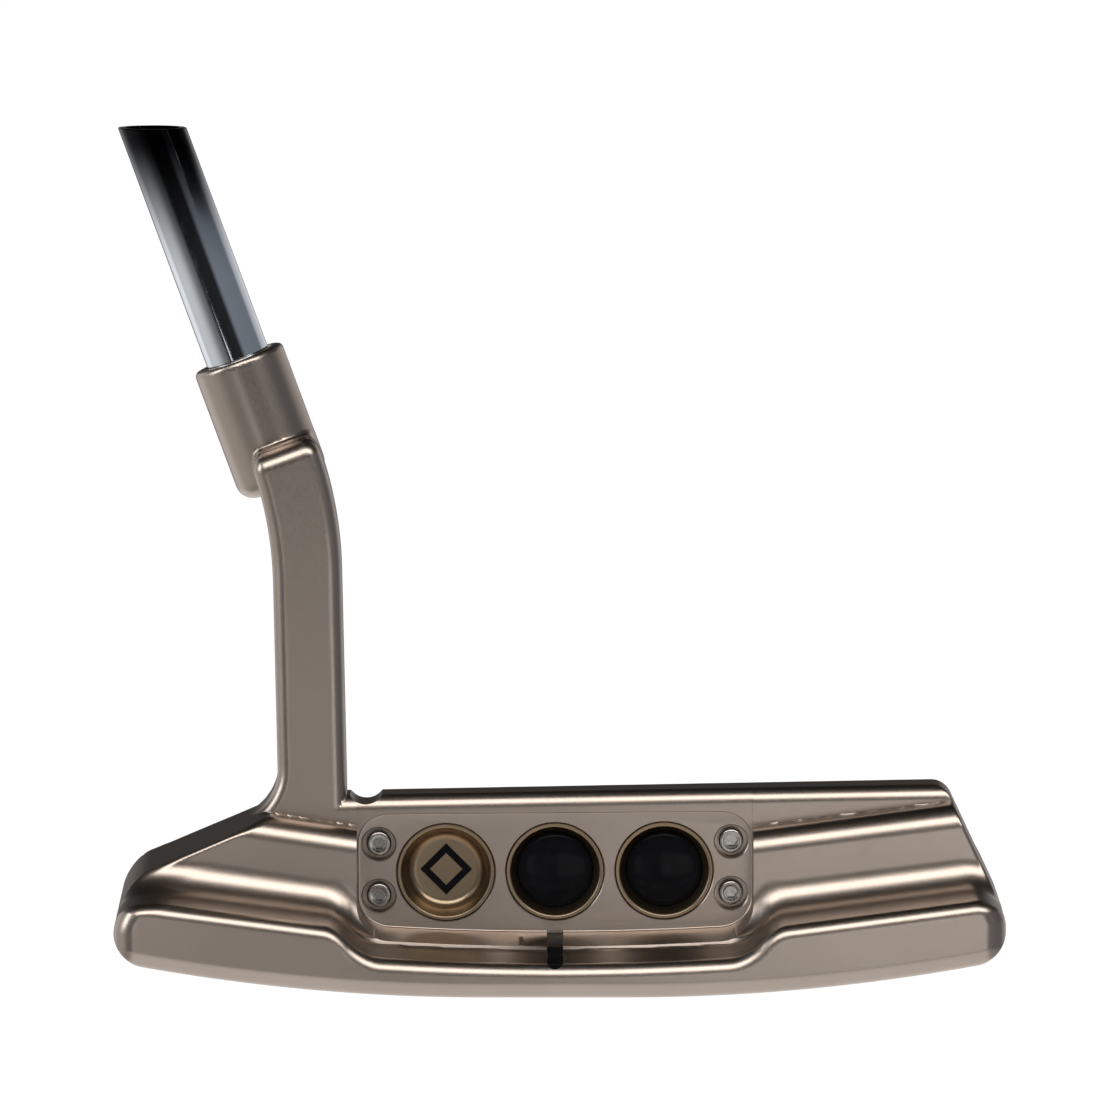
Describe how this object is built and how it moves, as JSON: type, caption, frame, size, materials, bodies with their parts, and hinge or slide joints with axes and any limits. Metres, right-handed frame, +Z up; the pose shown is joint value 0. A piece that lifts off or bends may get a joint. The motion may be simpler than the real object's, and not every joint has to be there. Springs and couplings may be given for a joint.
{
  "type": "blade putter head",
  "caption": "Milled blade putter head with a plumber's neck, face insert screwed in from a dished back pocket, sole weights and a short chrome shaft stub.",
  "frame": {"origin": "on the flat of the sole, straight below the sight line at the middle of the blade", "axes": "+X towards the toe, +Y the way the face looks and the ball goes, +Z up"},
  "size_m": [0.1247, 0.0371, 0.12],
  "materials": {
    "head": "bead-blasted satin steel with a warm champagne grey tint",
    "insert": "satin bronze alloy, deep milled on the face",
    "pad": "matt black damping membrane",
    "screw": "turned stainless steel",
    "weight": "turned stainless steel",
    "washer": "natural nylon",
    "enamel": "glossy black enamel",
    "shaft": "polished chrome plate",
    "bond": "cured epoxy",
    "plug": "cork"
  },
  "bodies": {
    "root": {"head_body": "head", "face_insert": "insert", "damping_pad": "pad", "insert_screw_heel_upper": "screw", "insert_screw_heel_lower": "screw", "insert_screw_toe_upper": "screw", "insert_screw_toe_lower": "screw", "sole_weight_heel": "weight", "sole_weight_toe": "weight", "sole_weight_washer_heel": "washer", "sole_weight_washer_toe": "washer", "motif_fill_heel": "enamel", "dot_fill_centre": "enamel", "dot_fill_toe": "enamel", "sight_line_fill": "enamel", "shaft": "shaft", "shaft_bond": "bond", "tip_plug": "plug"}
  },
  "joints": []
}
